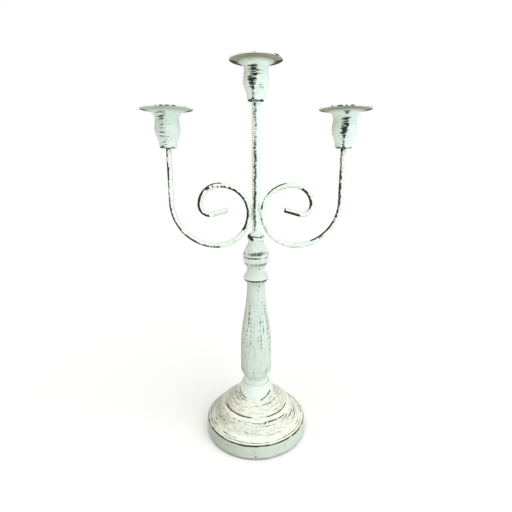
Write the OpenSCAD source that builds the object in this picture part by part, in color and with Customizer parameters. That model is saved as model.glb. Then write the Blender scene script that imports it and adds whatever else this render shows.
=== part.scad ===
// Three-light candlestick: a turned wooden base and column carry a steel stem
// with two scroll arms, and each of the three ends holds a candle cup.
// Millimetres, +Z up, +X to the right-hand cup. The origin is the centre of
// the underside. The left side mirrors the right side in the plane x = 0.

/* [Base] */
// Diameter of the base at the floor
base_d = 120; // [112:1:128]
// Height of the nearly upright base wall
base_wall_h = 17; // [14:0.5:20]
// Diameter of the step ring on top of the base
step_d = 73; // [66:1:80]
// Height of the joint between base and column
base_h = 64; // [60:0.5:68]
// Thickness of the felt under the base
felt_t = 1.2; // [0.8:0.1:2]

/* [Column] */
// Greatest diameter of the lower half of the column
belly_d = 36.2; // [34:0.2:38]
// Smallest diameter under the collar
waist_d = 20.4; // [19:0.2:22]
// Diameter of the sharp collar
collar_d = 28.8; // [27:0.2:30]
// Diameter of the grooved bead
bead_d = 29; // [27:0.2:31]
// Diameter of the cap where the stem goes in
cap_d = 19.4; // [18.4:0.2:21]

/* [Stem] */
// Outer diameter of the stem tube
stem_d = 9.2; // [9:0.1:9.6]
// Inner diameter of the stem tube
stem_bore_d = 7.6; // [7:0.1:7.7]
// Height of the top end of the stem
stem_top_z = 381; // [372:1:390]

/* [Arms] */
// Diameter of the arm rod
rod_d = 5.6; // [5:0.1:6]
// Distance from the middle to the axis of a side cup
arm_reach = 91; // [88:0.5:94]
// Height of the lowest point of the arm's centre line
arm_low_z = 231; // [229:0.5:233]
// Radius of the big outer curve
outer_r = 48; // [46:0.5:49]
// Radius of the curve that sweeps up to the stem
inner_r = 36; // [34:0.5:37]
// Radius of the top of the scroll
scroll_r = 30; // [29:0.5:31]
// Radius of the shoulder of the scroll
shoulder_r = 21; // [20:0.5:22]
// Radius of the tight turn before the free end
tight_r = 10.6; // [10:0.2:11.4]
// Length of the straight free end
tail_len = 17; // [14:0.5:18]
// Height of the rod end under a side cup
arm_top_z = 335; // [330:1:340]

/* [Cups] */
// Height of a candle cup
cup_h = 39; // [38:0.5:41]
// Diameter of the rim
rim_d = 54; // [50:0.5:56]
// Diameter of the candle bore
candle_d = 22.5; // [22.3:0.1:22.8]
// Height of the lower end of the candle bore above the cup's underside
candle_stop = 13.8; // [13.6:0.1:14.4]
// Height of the upper end of the candle bore above the cup's underside
candle_mouth = 30.2; // [29:0.1:30.4]

/* [Fasteners] */
// Diameter of the threaded ends that hold the cups
cup_stud_d = 4; // [3.5:0.1:4.2]
// Diameter of the base bolt
base_bolt_d = 8; // [7.6:0.1:8.2]
// Diameter of the threaded stud under the stem
stem_stud_d = 6; // [5.6:0.1:6.2]

/* [Hidden] */
$fn = 96;
play = 0.05;                       // radial gap of a fitted pair
stem_r = stem_d / 2;
rod_r = rod_d / 2;
arm_gap = 0.05;                    // gap between rod and stem at the weld
touch_x = stem_r + rod_r + arm_gap;
tenon_r = 9;
tenon_len = 16;
counterbore_r = 12;
counterbore_z = 11;                // roof of the bolt's counterbore
insert_r = 6;                      // insert in the foot of the column
insert_z0 = base_h - tenon_len + 1;
insert_len = 14;
col_top = 246;                     // top of the cap, at the stem
seat_z = 236;                      // where the tube stands in the cap
top_insert_r = 4.4;
top_insert_z0 = 217;
top_insert_len = 15;
plug_len = 12;
cup_floor = 1.6;
washer_t = 0.9;
nut_t = 3.2;
nut_af = 7;
stud_up = cup_floor + washer_t + nut_t + 1.2;

// centre line of an arm, as arcs that meet on a common tangent
c1 = [arm_reach - outer_r, arm_low_z + outer_r];
c2 = [arm_reach - outer_r, arm_low_z + inner_r];
// the sweep ends where the rod runs upright beside the stem
sweep_x = c2[0] - inner_r;
c3 = [sweep_x + scroll_r, c2[1]];
// a short straight run over the top of the scroll
crown = 2.4;
c4 = c3 + [crown, scroll_r - shoulder_r];
c5 = [c4[0] + shoulder_r - tight_r, c4[1]];
// the free end climbs 7 in 24, whose sine and cosine are 0.28 and 0.96
tail_rise = atan(7 / 24);
tail_a = -(90 + tail_rise);
tail_p = c5 + tight_r * [cos(tail_a), sin(tail_a)];
// the whole arm shifts so that its sweep just clears the stem
arm_dx = touch_x - sweep_x;

// smooth curve through hand-set points
function cr(a, b, c, d, t) = 0.5 * (2 * b + (c - a) * t
    + (2 * a - 5 * b + 4 * c - d) * t * t
    + (3 * b - a - 3 * c + d) * t * t * t);
function smooth(P, n = 3) = [
    for (i = [0 : len(P) - 2]) for (k = [0 : n - 1])
        cr(i > 0 ? P[i - 1] : 2 * P[0] - P[1], P[i], P[i + 1],
           i < len(P) - 2 ? P[i + 2] : 2 * P[i + 1] - P[i], k / n),
    P[len(P) - 1]];

base_r = base_d / 2;
step_r = step_d / 2;
wall_top = felt_t + base_wall_h - 1;
base_profile = concat(
    [[0, felt_t], [base_r - 1.6, felt_t]],
    smooth([[base_r - 1.4, felt_t + 0.1], [base_r - 0.4, felt_t + 0.6],
            [base_r, felt_t + 1.8]], 3),
    [[base_r - 0.1, felt_t + 7]],
    smooth([[base_r - 0.6, wall_top - 1], [base_r - 0.9, wall_top - 0.1],
            [base_r - 1.5, wall_top + 0.7], [base_r - 2.6, wall_top + 1.3],
            [base_r - 3.6, wall_top + 1.5]], 3),
    [[base_r - 4.2, wall_top + 1.0]],
    smooth([[base_r - 4.6, wall_top + 1.7], [base_r - 7.4, wall_top + 2.5],
            [base_r - 10.2, wall_top + 4.5], [base_r - 12.7, wall_top + 7.8],
            [step_r + 8.8, 28.8], [step_r + 7.4, 31.6],
            [step_r + 6.5, 33.4], [step_r + 4.8, 35.2],
            [step_r + 2.6, 36.3], [step_r + 0.9, 36.6]], 3),
    [[step_r + 0.4, 36.1]],
    smooth([[step_r, 37.2], [step_r - 1, 39.3], [step_r - 3.3, 41.6],
            [step_r - 6.9, 44.6], [step_r - 10.9, 48.2],
            [step_r - 14.5, 52.6], [19.2, 57.2], [17.2, 61.2],
            [15.9, base_h]], 3),
    [[0, base_h]]);

belly_r = belly_d / 2;
waist_r = waist_d / 2;
collar_r = collar_d / 2;
bead_r = bead_d / 2;
cap_r = cap_d / 2;
column_profile = concat(
    [[0, base_h - tenon_len], [tenon_r - 0.8, base_h - tenon_len],
     [tenon_r, base_h - tenon_len + 0.8], [tenon_r, base_h]],
    smooth([[15.4, base_h], [15.1, base_h + 0.9], [14.4, base_h + 2.4],
            [13.9, base_h + 4.4], [13.9, base_h + 6]], 3),
    smooth([[14.2, base_h + 6.6], [15.1, base_h + 8.6],
            [belly_r - 1.7, base_h + 11], [belly_r - 0.7, base_h + 13.4],
            [belly_r - 0.15, base_h + 16], [belly_r, base_h + 20]], 3),
    smooth([[belly_r, 92], [belly_r, 101], [belly_r - 0.1, 109],
            [belly_r - 0.4, 118], [belly_r - 0.9, 126],
            [belly_r - 1.7, 133], [15.4, 140], [14.3, 147], [13.2, 154],
            [12.2, 161], [waist_r + 1.2, 168], [waist_r + 0.6, 175],
            [waist_r + 0.2, 181], [waist_r, 185.5]], 2),
    smooth([[waist_r + 0.15, 187.4], [11.1, 189.1], [12.5, 190.8],
            [collar_r - 0.6, 192.5], [collar_r, 193.9]], 3),
    smooth([[collar_r - 0.1, 195.1], [13.3, 197], [12, 198.8],
            [10.9, 200.8], [10.25, 203.2], [10.15, 205.2],
            [10.6, 207.2], [11.5, 208.8], [12.6, 210.3],
            [bead_r - 0.7, 212.2], [bead_r - 0.15, 214.2], [bead_r, 216.4],
            [bead_r - 0.1, 218.3]], 3),
    [[bead_r - 0.7, 218.9]],
    smooth([[bead_r - 0.1, 219.5], [bead_r - 0.05, 220.8],
            [bead_r - 0.35, 222.6], [13.6, 224.6], [12.6, 226.8],
            [11.5, 228.8], [10.3, 230.9], [9.3, 233], [8.8, 235],
            [8.8, 236.6]], 3),
    smooth([[cap_r - 0.6, 237.6], [cap_r - 0.1, 238.6], [cap_r, 240.6],
            [cap_r - 0.2, 242], [cap_r - 1, 243.3], [cap_r - 2.6, 244.5],
            [cap_r - 4.2, 245.5], [stem_r + 0.5, col_top]], 3),
    [[0, col_top]]);

rim_r = rim_d / 2;
bore_r = candle_d / 2;
top = cup_h;
// outside from the underside to the rim, then back down the inside
cup_profile = concat(
    [[0, 0], [8.1, 0]],
    smooth([[8.3, 0.1], [8.7, 0.5], [8.9, 1.6], [9.1, 3.6], [9.35, 5.6],
            [9.8, 7.6], [10.6, 9.8], [11.6, 12], [12.4, 14], [12.95, 16.4],
            [13.1, 18.8], [13, 21], [12.65, 23.6], [12.3, 26],
            [12.15, 28.2], [12.3, 30.2], [12.95, 32.2], [14.4, 34.2],
            [17.4, 35.9], [21.2, 36.9], [rim_r - 2.2, top - 1.5],
            [rim_r - 0.9, top - 1.3]], 2),
    smooth([[rim_r - 0.3, top - 1.15], [rim_r, top - 0.75],
            [rim_r - 0.1, top - 0.3], [rim_r - 0.4, top - 0.05],
            [rim_r - 0.9, top]], 3),
    smooth([[rim_r - 2, top - 0.1], [24, top - 0.4], [20.6, top - 1.1],
            [17, top - 2.1], [14.2, top - 3.7], [12.2, top - 6.4],
            [bore_r, candle_mouth]], 2),
    [[bore_r, candle_stop]],
    smooth([[9.7, candle_stop - 3], [8.5, candle_stop - 5.6],
            [7.9, candle_stop - 8.4], [7.6, cup_floor + 1]], 2),
    [[6.9, cup_floor], [0, cup_floor]]);

module lathe(P) { rotate_extrude() polygon(P); }

// a piece of the arm rod round centre c, from angle a to angle b: the ring
// is cut by a sector whose sides pass through the centre
module bend(c, r, a, b, rr = rod_r) {
    n = ceil((b - a) / 60);
    far = 2 * (r + rr);
    translate([c[0] + arm_dx, 0, c[1]]) rotate([90, 0, 0])
        intersection() {
            rotate_extrude() translate([r, 0]) circle(rr, $fn = 48);
            translate([0, 0, -rr - 1]) linear_extrude(2 * rr + 2)
                polygon(concat([[0, 0]], [for (i = [0 : n])
                    far * [cos(a + (b - a) * i / n),
                           sin(a + (b - a) * i / n)]]));
        }
}

module rod_bends(rr = rod_r) {
    bend(c1, outer_r, -90, 0, rr);
    bend(c2, inner_r, -180, -90, rr);
    bend(c3, scroll_r, 90, 180, rr);
    translate([c3[0] + arm_dx, 0, c3[1] + scroll_r]) rotate([0, 90, 0])
        cylinder(r = rr, h = crown, $fn = 48);
    bend(c4, shoulder_r, 0, 90, rr);
    bend(c5, tight_r, tail_a, 0, rr);
}

module felt_pad() {
    color("#4b4a44") cylinder(r = base_r - 4, h = felt_t);
}

module base_turning() {
    color("#e9ede0") difference() {
        lathe(base_profile);
        translate([0, 0, -1]) cylinder(r = counterbore_r,
            h = counterbore_z + 1);
        translate([0, 0, -1]) cylinder(r = base_bolt_d / 2 + 0.3,
            h = base_h + 2);
        translate([0, 0, base_h - tenon_len - 0.5])
            cylinder(r = tenon_r + play, h = tenon_len + 2);
    }
}

module base_washer() {
    color("#a9aaa7") translate([0, 0, counterbore_z - 1.6]) difference() {
        cylinder(r = 10.5, h = 1.6);
        translate([0, 0, -1]) cylinder(r = base_bolt_d / 2 + 0.2, h = 4);
    }
}

module base_bolt() {
    head_z = counterbore_z - 1.6 - 5.3;
    color("#b4b5b2") union() {
        difference() {
            translate([0, 0, head_z]) cylinder(r = 13 / sqrt(3), h = 5.3,
                $fn = 6);
            translate([0, 0, head_z - 0.01]) cylinder(r = 4.4, h = 0.5);
        }
        translate([0, 0, head_z + 5]) cylinder(r = base_bolt_d / 2,
            h = 52.5 - 5);
        translate([0, 0, head_z + 52.5]) cylinder(r1 = base_bolt_d / 2,
            r2 = base_bolt_d / 2 - 0.8, h = 0.8);
    }
}

module column_insert() {
    color("#a98f55") translate([0, 0, insert_z0]) difference() {
        cylinder(r = insert_r, h = insert_len);
        translate([0, 0, -1]) cylinder(r = base_bolt_d / 2 + play,
            h = insert_len + 2);
        translate([0, 0, -0.01]) cylinder(r1 = base_bolt_d / 2 + 0.7,
            r2 = base_bolt_d / 2 + play, h = 0.7);
    }
}

module column_spindle() {
    color("#dfeadd") difference() {
        lathe(column_profile);
        // hole for the lower insert
        translate([0, 0, base_h - tenon_len - 1]) cylinder(
            r = insert_r + play, h = insert_len + 2.4);
        // hole for the upper insert, the stud and the tube
        translate([0, 0, top_insert_z0 - 1]) cylinder(
            r = top_insert_r + play, h = top_insert_len + 1.6);
        translate([0, 0, top_insert_z0]) cylinder(r = stem_stud_d / 2 + 0.3,
            h = 40);
        translate([0, 0, seat_z]) cylinder(r = stem_r + play, h = 20);
    }
}

module stem_insert() {
    color("#a98f55") translate([0, 0, top_insert_z0]) difference() {
        cylinder(r = top_insert_r, h = top_insert_len);
        translate([0, 0, -1]) cylinder(r = stem_stud_d / 2 + play,
            h = top_insert_len + 2);
    }
}

module stem_stud() {
    color("#b4b5b2") union() {
        translate([0, 0, seat_z]) cylinder(r = stem_bore_d / 2 - play,
            h = plug_len);
        translate([0, 0, top_insert_z0 + 2]) cylinder(r = stem_stud_d / 2,
            h = seat_z - top_insert_z0 - 1);
    }
}

module stem_tube() {
    color("#dce8df") translate([0, 0, seat_z]) difference() {
        cylinder(r = stem_r, h = stem_top_z - seat_z);
        translate([0, 0, -1]) cylinder(r = stem_bore_d / 2,
            h = stem_top_z - seat_z + 2);
    }
}

module stem_top_plug() {
    color("#b4b5b2") union() {
        translate([0, 0, stem_top_z - plug_len])
            cylinder(r = stem_bore_d / 2 - play, h = plug_len);
        translate([0, 0, stem_top_z - 1]) cylinder(r = cup_stud_d / 2,
            h = 1 + stud_up - 0.4);
        translate([0, 0, stem_top_z + stud_up - 0.4])
            cylinder(r1 = cup_stud_d / 2, r2 = cup_stud_d / 2 - 0.4,
                h = 0.4);
    }
}

module scroll_arm() {
    x = arm_reach + arm_dx;
    rod_bends();
    // upright run to the cup
    translate([x, 0, c1[1]]) cylinder(r = rod_r, h = arm_top_z - c1[1],
        $fn = 48);
    // threaded end through the floor of the cup
    translate([x, 0, arm_top_z - 1]) cylinder(r = cup_stud_d / 2,
        h = 1 + stud_up - 0.4);
    translate([x, 0, arm_top_z + stud_up - 0.4]) cylinder(
        r1 = cup_stud_d / 2, r2 = cup_stud_d / 2 - 0.4, h = 0.4);
    // straight free end
    translate([tail_p[0] + arm_dx, 0, tail_p[1]])
        rotate([0, tail_rise - 90, 0]) {
            cylinder(r = rod_r, h = tail_len - 0.4, $fn = 48);
            translate([0, 0, tail_len - 0.4]) cylinder(r1 = rod_r,
                r2 = rod_r - 0.4, h = 0.4, $fn = 48);
        }
}

module right_scroll_arm() { color("#dfe9e2") scroll_arm(); }
module left_scroll_arm() { color("#dcdfd2") mirror([1, 0, 0]) scroll_arm(); }

// braze that fills the two corners between the stem and the arm rod
module arm_weld() {
    difference() {
        intersection() {
            translate([touch_x - rod_r - 0.4, 0, c2[1] - 6])
                cylinder(r = 3.5, h = 12);
            translate([touch_x - rod_r - 0.4, 0, c2[1]]) sphere(r = 6.4);
        }
        cylinder(r = stem_r + 0.02, h = 400);
        translate([touch_x, 0, c2[1] - 10]) cylinder(r = rod_r + 0.3,
            h = 20);
    }
}

module right_arm_weld() { color("#d5dfd6") arm_weld(); }
module left_arm_weld() { color("#d2d8cc") mirror([1, 0, 0]) arm_weld(); }

module candle_cup() {
    difference() {
        lathe(cup_profile);
        translate([0, 0, -1]) cylinder(r = cup_stud_d / 2 + 0.15, h = 6);
        // straight wall that grips the candle
        translate([0, 0, candle_stop]) cylinder(r = bore_r,
            h = candle_mouth - candle_stop);
    }
}

module cup_washer() {
    difference() {
        cylinder(r = 3.8, h = washer_t);
        translate([0, 0, -1]) cylinder(r = cup_stud_d / 2 + 0.15, h = 4);
        rotate([0, 0, 200]) translate([0, -0.4, -1]) cube([6, 0.8, 4]);
    }
}

module cup_nut() {
    difference() {
        cylinder(r = nut_af / sqrt(3), h = nut_t, $fn = 6);
        translate([0, 0, -1]) cylinder(r = cup_stud_d / 2 + play,
            h = nut_t + 2);
        translate([0, 0, nut_t - 0.4]) cylinder(
            r1 = cup_stud_d / 2 + play, r2 = cup_stud_d / 2 + 0.6, h = 0.5);
    }
}

// a cup, washer or nut at its place on one of the three ends
module on_stem(dz = 0) { translate([0, 0, stem_top_z + dz]) children(); }
module on_arm(side, dz = 0) {
    translate([side * (arm_reach + arm_dx), 0, arm_top_z + dz]) children();
}
washer_z = cup_floor;
nut_z = cup_floor + washer_t;

module centre_candle_cup() { color("#dfeadf") on_stem() candle_cup(); }
module left_candle_cup() { color("#dde0d3") on_arm(-1) candle_cup(); }
module right_candle_cup() { color("#e0ece6") on_arm(1) candle_cup(); }
module centre_cup_washer() { color("#9b9c99") on_stem(washer_z) cup_washer(); }
module left_cup_washer() { color("#9b9c99") on_arm(-1, washer_z) cup_washer(); }
module right_cup_washer() { color("#9b9c99") on_arm(1, washer_z) cup_washer(); }
module centre_cup_nut() { color("#b4b5b2") on_stem(nut_z) cup_nut(); }
module left_cup_nut() { color("#b4b5b2") on_arm(-1, nut_z) cup_nut(); }
module right_cup_nut() { color("#b4b5b2") on_arm(1, nut_z) cup_nut(); }

felt_pad();
base_turning();
base_washer();
base_bolt();
column_insert();
column_spindle();
stem_insert();
stem_stud();
stem_tube();
stem_top_plug();
left_scroll_arm();
right_scroll_arm();
left_arm_weld();
right_arm_weld();
centre_candle_cup();
left_candle_cup();
right_candle_cup();
centre_cup_washer();
left_cup_washer();
right_cup_washer();
centre_cup_nut();
left_cup_nut();
right_cup_nut();
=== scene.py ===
import bpy, math
import numpy as np
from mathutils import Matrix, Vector


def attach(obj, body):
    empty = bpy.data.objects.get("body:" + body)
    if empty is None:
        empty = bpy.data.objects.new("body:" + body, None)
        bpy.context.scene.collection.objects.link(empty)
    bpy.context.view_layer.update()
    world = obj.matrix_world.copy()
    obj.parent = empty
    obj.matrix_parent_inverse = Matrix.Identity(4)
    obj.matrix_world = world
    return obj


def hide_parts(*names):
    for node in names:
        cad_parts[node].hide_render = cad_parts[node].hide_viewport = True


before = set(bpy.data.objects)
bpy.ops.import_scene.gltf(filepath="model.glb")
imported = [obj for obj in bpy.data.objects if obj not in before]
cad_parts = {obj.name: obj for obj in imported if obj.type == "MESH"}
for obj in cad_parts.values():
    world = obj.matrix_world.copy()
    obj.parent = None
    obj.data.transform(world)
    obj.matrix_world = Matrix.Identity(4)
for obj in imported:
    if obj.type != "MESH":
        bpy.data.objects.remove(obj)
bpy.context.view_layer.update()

MM = 0.001
rng = np.random.default_rng(7)
R_ = np.radians

# ------------------------------------------------------------------ helpers

def smooth(P, n=8):
    """Catmull-Rom through the given points."""
    P = [np.array(p, float) for p in P]
    out = []
    for i in range(len(P) - 1):
        a = P[i - 1] if i else 2 * P[0] - P[1]
        b, c = P[i], P[i + 1]
        d = P[i + 2] if i < len(P) - 2 else 2 * P[i + 1] - P[i]
        for k in range(n):
            t = k / n
            out.append(0.5 * (2 * b + (c - a) * t + (2 * a - 5 * b + 4 * c - d) * t * t
                              + (3 * b - a - 3 * c + d) * t ** 3))
    out.append(P[-1])
    return [tuple(p) for p in out]


def dense(P, step, closed=False):
    """Adds points so that no step is longer than step, and drops doubles."""
    P = [np.array(p, float) for p in P]
    if closed:
        P = P + [P[0]]
    out = [P[0]]
    for a, b in zip(P[:-1], P[1:]):
        d = float(np.hypot(*(b - a)))
        if d < 1e-4:
            continue
        n = max(1, int(math.ceil(d / step)))
        out += [a + (b - a) * (k + 1) / n for k in range(n)]
    if closed:
        out = out[:-1]
    return np.array(out)


def _hash(ix, iy, iz, seed):
    h = (ix.astype(np.uint64) * np.uint64(73856093)) ^ (iy.astype(np.uint64) * np.uint64(19349663)) \
        ^ (iz.astype(np.uint64) * np.uint64(83492791)) ^ np.uint64(seed * 2654435761 % (1 << 32))
    h &= np.uint64(0xFFFFFFFF)
    h = (h ^ (h >> np.uint64(15))) * np.uint64(2246822519) & np.uint64(0xFFFFFFFF)
    h = (h ^ (h >> np.uint64(13))) * np.uint64(3266489917) & np.uint64(0xFFFFFFFF)
    h ^= h >> np.uint64(16)
    return h.astype(np.float64) / 4294967295.0


def vnoise(x, y, z, seed=1):
    """Smooth value noise in 0..1, the same on every run."""
    x, y, z = np.broadcast_arrays(np.asarray(x, float), np.asarray(y, float), np.asarray(z, float))
    fx, fy, fz = np.floor(x), np.floor(y), np.floor(z)
    ux, uy, uz = x - fx, y - fy, z - fz
    ux, uy, uz = [u * u * (3 - 2 * u) for u in (ux, uy, uz)]
    ix, iy, iz = [(f + 4096).astype(np.int64) for f in (fx, fy, fz)]
    r = 0
    for dx in (0, 1):
        for dy in (0, 1):
            for dz in (0, 1):
                w = (ux if dx else 1 - ux) * (uy if dy else 1 - uy) * (uz if dz else 1 - uz)
                r = r + w * _hash(ix + dx, iy + dy, iz + dz, seed)
    return r


def fbm(x, y, z, seed=1, octaves=3):
    r, a, t = 0, 1.0, 0
    for o in range(octaves):
        r = r + a * vnoise(x * 2 ** o, y * 2 ** o, z * 2 ** o, seed + 17 * o)
        t += a
        a *= 0.5
    return r / t


def bump(x, c, w):
    """1 at c, falling smoothly to 0 at distance w."""
    d = np.clip(np.abs(x - c) / w, 0, 1)
    return (1 - d * d) ** 2


def sstep(x, a, b):
    t = np.clip((x - a) / (b - a), 0, 1)
    return t * t * (3 - 2 * t)


def make(name, verts, faces, attrs, mat, node, smooth_shade=True):
    me = bpy.data.meshes.new(name)
    me.from_pydata([], [], [])
    nv = len(verts)
    me.vertices.add(nv)
    me.vertices.foreach_set("co", np.asarray(verts, np.float32).ravel())
    lens = np.array([len(f) for f in faces], np.int32) if not isinstance(faces, np.ndarray) else None
    if isinstance(faces, np.ndarray):
        loops = faces.ravel().astype(np.int32)
        starts = np.arange(len(faces), dtype=np.int32) * faces.shape[1]
        tots = np.full(len(faces), faces.shape[1], np.int32)
    else:
        loops = np.concatenate([np.array(f, np.int32) for f in faces])
        tots = lens
        starts = np.concatenate([[0], np.cumsum(lens)[:-1]]).astype(np.int32)
    me.loops.add(len(loops))
    me.loops.foreach_set("vertex_index", loops)
    me.polygons.add(len(starts))
    me.polygons.foreach_set("loop_start", starts)
    me.polygons.foreach_set("loop_total", tots)
    me.update(calc_edges=True)
    me.validate()
    for k, v in attrs.items():
        a = me.attributes.new(k, "FLOAT", "POINT")
        a.data.foreach_set("value", np.asarray(v, np.float32).ravel())
    me.polygons.foreach_set("use_smooth", np.full(len(me.polygons), smooth_shade))
    ob = bpy.data.objects.new(name, me)
    bpy.context.scene.collection.objects.link(ob)
    me.materials.append(mat)
    if node:
        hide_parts(*([node] if isinstance(node, str) else node))
    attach(ob, "root")
    return ob


def lathe(name, P, nseg, mat, node, centre=(0, 0), z0=0.0, closed=True,
          shape=None, masks=None, sharp=None):
    """Turns the profile P (radius, height in mm) round the axis. shape moves
    points outward, masks gives the attributes. phi is 0 at the front."""
    n = len(P)
    phi = (np.arange(nseg) + 0.5) / nseg * 2 * np.pi - np.pi
    seg = np.hypot(*np.diff(np.vstack([P, P[:1]]) if closed else P, axis=0).T)
    s = np.concatenate([[0], np.cumsum(seg)])[:n]
    r = P[:, 0][:, None] * np.ones(nseg)
    z = P[:, 1][:, None] * np.ones(nseg)
    PH = np.ones((n, 1)) * phi
    S = s[:, None] * np.ones(nseg)
    # outward normal of the profile
    T = np.gradient(P, axis=0)
    T /= np.hypot(T[:, 0], T[:, 1])[:, None] + 1e-12
    N = np.stack([T[:, 1], -T[:, 0]], 1)
    if shape is not None:
        d = shape(r, z, PH, S)
        r = r + N[:, 0][:, None] * d
        z = z + N[:, 1][:, None] * d
    x = centre[0] + r * np.sin(PH)
    y = centre[1] - r * np.cos(PH)
    V = np.stack([x, y, z + z0], -1).reshape(-1, 3) * MM
    i = np.arange(n if closed else n - 1)
    j = np.arange(nseg)
    I, J = np.meshgrid(i, j, indexing="ij")
    I2 = (I + 1) % n
    J2 = (J + 1) % nseg
    F = np.stack([I * nseg + J, I * nseg + J2, I2 * nseg + J2, I2 * nseg + J], -1).reshape(-1, 4)
    at = {"s": S, "around": PH, "wear": 0 * S, "glaze": 0 * S, "cream_tint_and_warm_light": 0 * S, "painted_shade": 0 * S, "painted_highlight": 0 * S}
    if masks is not None:
        at.update(masks(P[:, 0][:, None] * np.ones(nseg), P[:, 1][:, None] * np.ones(nseg), PH, S, N))
    if not closed:
        # a profile that ends short of the axis is shut with a flat fan at each end
        poles = [[centre[0], centre[1], z[k].mean() + z0] for k in (0, -1)]
        V = np.vstack([V, np.array(poles) * MM])
        a, b, last = n * nseg, n * nseg + 1, (n - 1) * nseg
        K = (j + 1) % nseg
        F = (list(F) + list(np.stack([K, j, np.full(nseg, a)], -1))
             + list(np.stack([last + j, last + K, np.full(nseg, b)], -1)))
        at = {k: np.concatenate([np.asarray(v * np.ones((n, nseg))).ravel(), [np.mean(v[0]), np.mean(v[-1])]])
              for k, v in at.items()}
    return make(name, V, F, at, mat, node)


# ---------------------------------------------------------------- materials

class Net:
    """Short forms for building a node tree."""
    def __init__(self, name):
        self.mat = bpy.data.materials.new(name)
        self.mat.use_nodes = True
        self.t = self.mat.node_tree
        self.t.nodes.clear()
        self.out = self.t.nodes.new("ShaderNodeOutputMaterial")
        self.b = self.t.nodes.new("ShaderNodeBsdfPrincipled")
        self.t.links.new(self.b.outputs[0], self.out.inputs["Surface"])

    def link(self, a, b):
        self.t.links.new(a, b)

    def put(self, sock, v):
        if isinstance(v, bpy.types.NodeSocket):
            self.t.links.new(v, sock)
        else:
            sock.default_value = v

    def math(self, op, a, b=None, c=None, clamp=False):
        n = self.t.nodes.new("ShaderNodeMath")
        n.operation = op
        n.use_clamp = clamp
        self.put(n.inputs[0], a)
        if b is not None:
            self.put(n.inputs[1], b)
        if c is not None:
            self.put(n.inputs[2], c)
        return n.outputs[0]

    def add(self, a, b): return self.math("ADD", a, b)
    def sub(self, a, b): return self.math("SUBTRACT", a, b)
    def mul(self, a, b): return self.math("MULTIPLY", a, b)

    def attr(self, name):
        n = self.t.nodes.new("ShaderNodeAttribute")
        n.attribute_type = "GEOMETRY"
        n.attribute_name = name
        return n.outputs["Fac"]

    def coords(self):
        n = self.t.nodes.new("ShaderNodeTexCoord")
        return n.outputs["Object"]

    def sep(self, v):
        n = self.t.nodes.new("ShaderNodeSeparateXYZ")
        self.put(n.inputs[0], v)
        return n.outputs[0], n.outputs[1], n.outputs[2]

    def comb(self, x, y, z):
        n = self.t.nodes.new("ShaderNodeCombineXYZ")
        for s, v in zip(n.inputs, (x, y, z)):
            self.put(s, v)
        return n.outputs[0]

    def noise(self, v, scale=1.0, detail=3.0, rough=0.55, dist=0.0, out="Fac"):
        n = self.t.nodes.new("ShaderNodeTexNoise")
        self.put(n.inputs["Vector"], v)
        n.inputs["Scale"].default_value = scale
        n.inputs["Detail"].default_value = detail
        n.inputs["Roughness"].default_value = rough
        n.inputs["Distortion"].default_value = dist
        return n.outputs[out]

    def ramp(self, v, lo, hi, clamp=True):
        """lo..hi to 0..1, smooth"""
        n = self.t.nodes.new("ShaderNodeMapRange")
        n.interpolation_type = "SMOOTHSTEP"
        self.put(n.inputs["Value"], v)
        n.inputs["From Min"].default_value = lo
        n.inputs["From Max"].default_value = hi
        return n.outputs["Result"]

    def mix(self, f, a, b):
        n = self.t.nodes.new("ShaderNodeMix")
        n.data_type = "RGBA"
        self.put(n.inputs["Factor"], f)
        ia = [s for s in n.inputs if s.name == "A" and s.type == "RGBA"][0]
        ib = [s for s in n.inputs if s.name == "B" and s.type == "RGBA"][0]
        self.put(ia, a)
        self.put(ib, b)
        return [s for s in n.outputs if s.type == "RGBA"][0]

    def bump(self, h, dist, strength=1.0, normal=None):
        n = self.t.nodes.new("ShaderNodeBump")
        n.inputs["Strength"].default_value = strength
        n.inputs["Distance"].default_value = dist
        self.put(n.inputs["Height"], h)
        if normal is not None:
            self.put(n.inputs["Normal"], normal)
        return n.outputs[0]


def lin(*c):
    """sRGB 0-255 to linear"""
    o = []
    for v in c:
        v = v / 255
        o.append(v / 12.92 if v <= 0.04045 else ((v + 0.055) / 1.055) ** 2.4)
    return tuple(o) + (1.0,)


MINT = lin(224, 244, 235)
BRIGHT = lin(236, 253, 246)
CREAM = lin(250, 249, 233)
IVORY = lin(230, 229, 208)
WASH = lin(142, 150, 132)
CHAR = lin(38, 38, 33)
CHAR2 = lin(68, 64, 50)


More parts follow.
